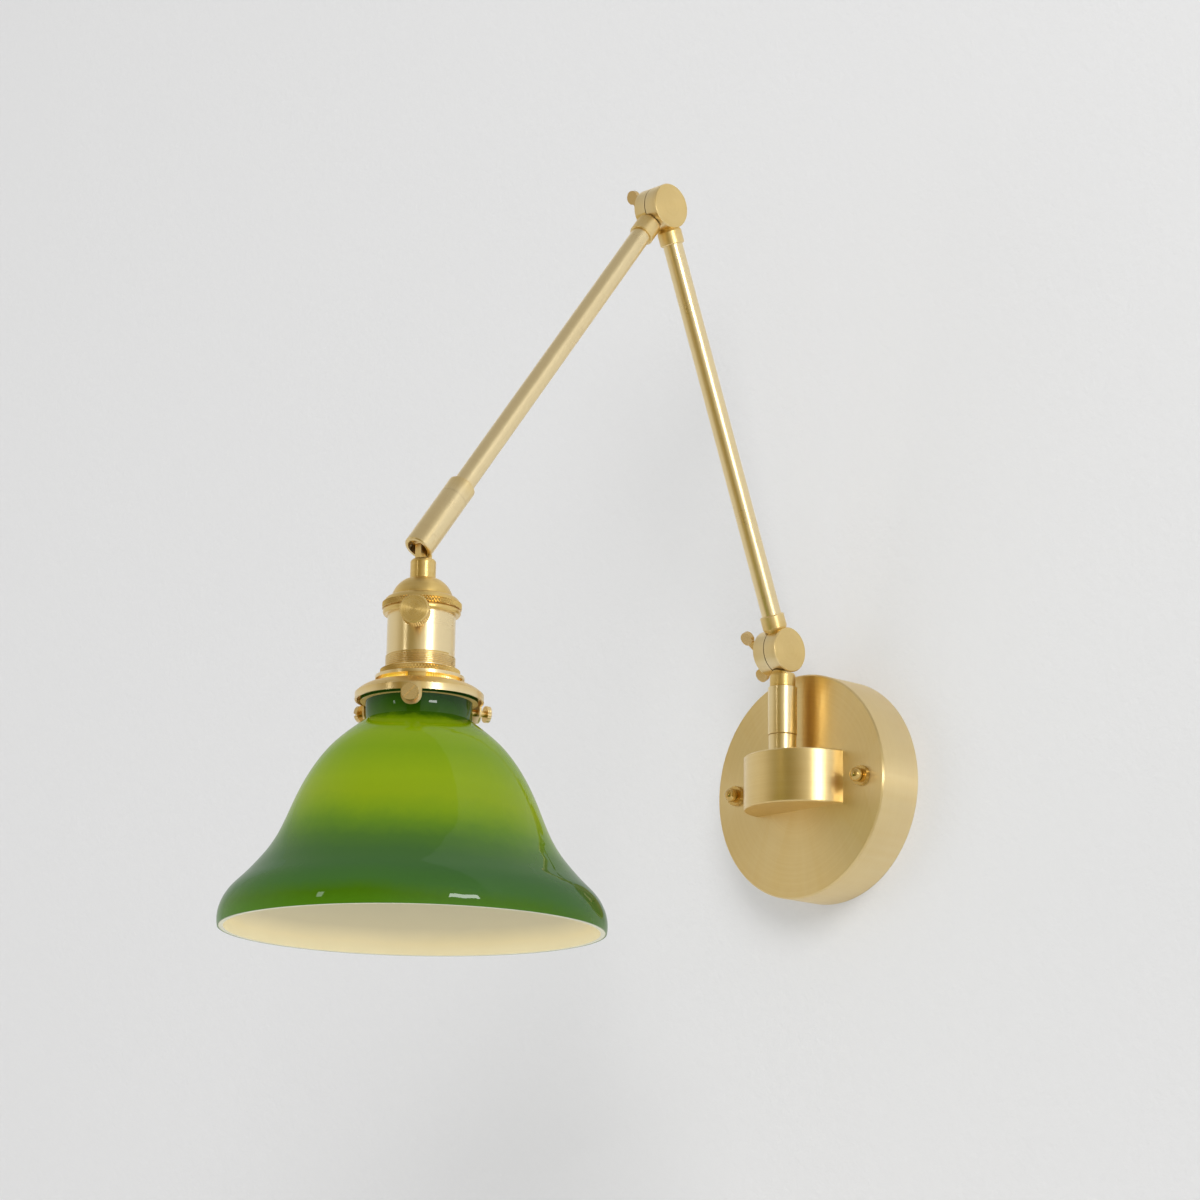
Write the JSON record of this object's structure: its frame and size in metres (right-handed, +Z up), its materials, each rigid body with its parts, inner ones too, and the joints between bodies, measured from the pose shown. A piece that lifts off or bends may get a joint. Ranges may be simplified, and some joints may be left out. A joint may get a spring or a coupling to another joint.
{
  "type": "swing arm wall sconce",
  "caption": "Brass wall sconce with two folding arms on knuckle joints, a tilting socket with a turn knob and a green cased glass bell shade.",
  "frame": {"origin": "centre of the wall plate's back, on the wall", "axes": "+Y into the wall, +Z up, +X to the right as seen from the room"},
  "size_m": [0.1834, 0.3786, 0.4153],
  "materials": {
    "satin_brass": "brushed satin, lacquered",
    "raw_brass": "plain stamped",
    "zinc_steel": "zinc plated",
    "green_paint": "gloss green",
    "black_plastic": "moulded",
    "fibre": "pressed fibre",
    "lead_insulation": "flexible sleeve",
    "cased_glass": "green outside over cream white inside, polished",
    "bulb_metal": "rolled thread",
    "bulb_glass": "white frosted"
  },
  "bodies": {
    "base": {"canopy": "satin_brass", "crossbar": "zinc_steel", "canopy_studs": "zinc_steel", "cap_nuts": "satin_brass", "ground_screw": "green_paint", "wire_bushing": "black_plastic", "half_round_block": "satin_brass", "block_screws": "zinc_steel", "stem_foot": "satin_brass", "stem_post": "raw_brass", "post_nut": "raw_brass", "post_clip": "zinc_steel", "supply_leads": "lead_insulation"},
    "stem": {"stem_tube": "satin_brass", "shoulder_left_half": "satin_brass", "stem_leads": "lead_insulation"},
    "shoulder_screw": {"shoulder_wing_screw": "satin_brass"},
    "lower_arm": {"shoulder_right_half": "satin_brass", "elbow_right_half": "satin_brass", "shoulder_washer": "fibre", "lower_arm_tube": "satin_brass", "lower_arm_leads": "lead_insulation"},
    "upper_arm": {"elbow_left_half": "satin_brass", "elbow_washer": "fibre", "upper_arm_tube": "satin_brass", "arm_end_collar": "satin_brass", "swivel_nipple": "raw_brass", "swivel_clip": "zinc_steel", "upper_arm_leads": "lead_insulation"},
    "elbow_screw": {"elbow_wing_screw": "satin_brass"},
    "swivel": {"swivel_sleeve": "satin_brass", "pivot_pin": "satin_brass"},
    "head": {"socket_neck": "satin_brass", "socket_cap": "satin_brass", "socket_shell": "satin_brass", "shell_liner": "fibre", "socket_core": "black_plastic", "terminal_screws": "raw_brass", "screw_shell": "raw_brass", "centre_contact": "raw_brass", "upper_lock_ring": "satin_brass", "lower_lock_ring": "satin_brass", "gallery": "satin_brass", "glass_shade": "cased_glass", "bulb_cap": "bulb_metal", "bulb_glass": "bulb_glass", "head_leads": "lead_insulation"},
    "switch": {"switch_knob": "satin_brass", "switch_shaft": "satin_brass", "switch_cam": "black_plastic"},
    "shade_screw_a": {"shade_screw_1": "satin_brass"},
    "shade_screw_b": {"shade_screw_2": "satin_brass"},
    "shade_screw_c": {"shade_screw_3": "satin_brass"}
  },
  "joints": [
    {"name": "base_swivel", "type": "hinge", "parent": "base", "child": "stem", "pos_m": [0, -0.0396, 0.0512], "axis": [0, 0, 1], "range_deg": [-28, 75]},
    {"name": "shoulder", "type": "hinge", "parent": "stem", "child": "lower_arm", "pos_m": [0, -0.0396, 0.0713], "axis": [1, 0, 0], "range_deg": [-26, 35]},
    {"name": "shoulder_wing", "type": "hinge", "parent": "stem", "child": "shoulder_screw", "pos_m": [0, -0.0396, 0.0713], "axis": [1, 0, 0], "range_deg": [-360, 20]},
    {"name": "elbow", "type": "hinge", "parent": "lower_arm", "child": "upper_arm", "pos_m": [0, -0.13121, 0.29691], "axis": [1, 0, 0], "range_deg": [-80, 2]},
    {"name": "elbow_wing", "type": "hinge", "parent": "upper_arm", "child": "elbow_screw", "pos_m": [0, -0.13121, 0.29691], "axis": [1, 0, 0], "range_deg": [-360, 20]},
    {"name": "arm_end_swivel", "type": "hinge", "parent": "upper_arm", "child": "swivel", "pos_m": [-0.0036, -0.28686, 0.08579], "axis": [0, -0.5934, -0.8049], "range_deg": [-150, 150]},
    {"name": "head_tilt", "type": "hinge", "parent": "swivel", "child": "head", "pos_m": [-0.0036, -0.28686, 0.08579], "axis": [1, 0, 0], "range_deg": [-34, 50]},
    {"name": "switch_turn", "type": "hinge", "parent": "head", "child": "switch", "pos_m": [-0.0036, -0.28686, 0.04469], "axis": [0.682, -0.7314, 0], "continuous": true},
    {"name": "shade_screw_a_turn", "type": "hinge", "parent": "head", "child": "shade_screw_a", "pos_m": [-0.0036, -0.28686, 0.00329], "axis": [0.682, -0.7314, 0], "range_deg": [-20, 360]},
    {"name": "shade_screw_b_turn", "type": "hinge", "parent": "head", "child": "shade_screw_b", "pos_m": [-0.0036, -0.28686, 0.00329], "axis": [0.2924, 0.9563, 0], "range_deg": [-20, 360]},
    {"name": "shade_screw_c_turn", "type": "hinge", "parent": "head", "child": "shade_screw_c", "pos_m": [-0.0036, -0.28686, 0.00329], "axis": [-0.9744, -0.225, 0], "range_deg": [-20, 360]}
  ]
}
